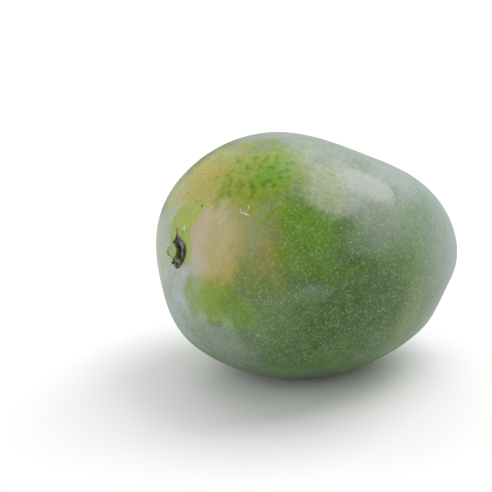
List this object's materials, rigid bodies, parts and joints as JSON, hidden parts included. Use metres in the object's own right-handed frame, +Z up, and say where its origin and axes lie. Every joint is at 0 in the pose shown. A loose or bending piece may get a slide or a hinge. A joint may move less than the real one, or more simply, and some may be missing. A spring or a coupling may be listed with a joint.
{
  "type": "green mango",
  "caption": "Round green mango lying on its cheek, stem end to the left, with the cut stub of its stem and a crust of dried sap.",
  "frame": {"origin": "centre of the bounding box seen from above, at the height of the surface that the fruit rests on", "axes": "+X runs along the fruit from the stem end to the tip, +Y from the front (ventral) edge to the back (dorsal) edge, +Z up"},
  "size_m": [0.1212, 0.1008, 0.0988],
  "materials": {
    "green_skin": "waxy satin",
    "cut_stem": "fresh cut, matt",
    "dried_sap": "crusty, matt"
  },
  "bodies": {
    "root": {"fruit": "green_skin", "stem_stub": "cut_stem", "sap_ring": "dried_sap"}
  },
  "joints": []
}
